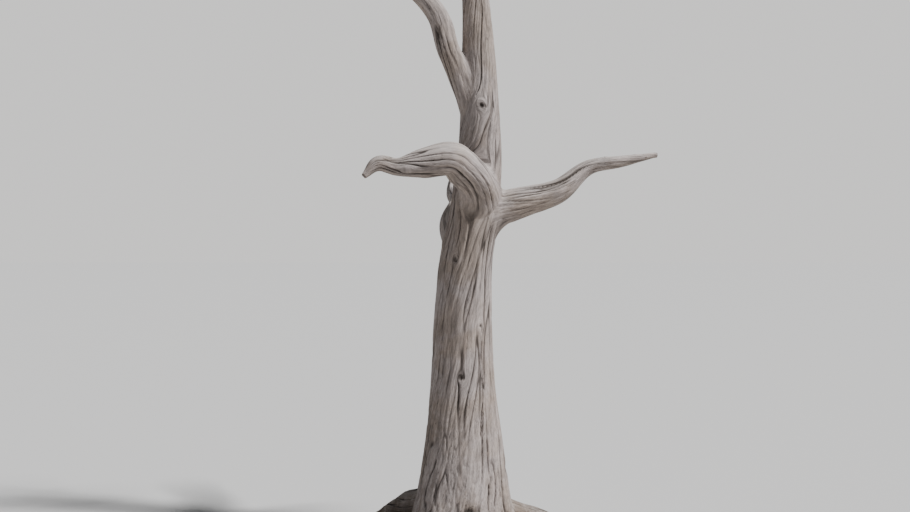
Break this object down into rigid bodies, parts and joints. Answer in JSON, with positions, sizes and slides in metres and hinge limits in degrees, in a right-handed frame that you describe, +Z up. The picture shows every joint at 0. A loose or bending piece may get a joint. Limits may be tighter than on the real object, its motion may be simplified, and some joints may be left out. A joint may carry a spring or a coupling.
{
  "type": "dead tree",
  "caption": "Bare dead tree with a stout crooked tapering trunk, a root flare with surface roots, and crooked bare boughs that stand out on all sides.",
  "frame": {"origin": "middle of the flat cut under the trunk, at ground level", "axes": "+Z up along the trunk, +X to the right seen from the front, +Y away from the front"},
  "size_m": [3.243, 3.0827, 7.6],
  "materials": {
    "weathered_wood": "matt, weathered silver grey",
    "root_wood": "matt, weathered grey brown"
  },
  "bodies": {
    "root": {"trunk": "weathered_wood", "bough_right": "weathered_wood", "bough_front_left": "weathered_wood", "bough_back": "weathered_wood", "bough_upper_left": "weathered_wood", "bough_top_right": "weathered_wood", "bough_top_back": "weathered_wood", "bough_top_front": "weathered_wood", "root_back_right": "root_wood", "root_right": "root_wood", "root_front": "root_wood", "root_front_left": "root_wood", "root_left": "root_wood", "root_back_left": "root_wood"}
  },
  "joints": []
}
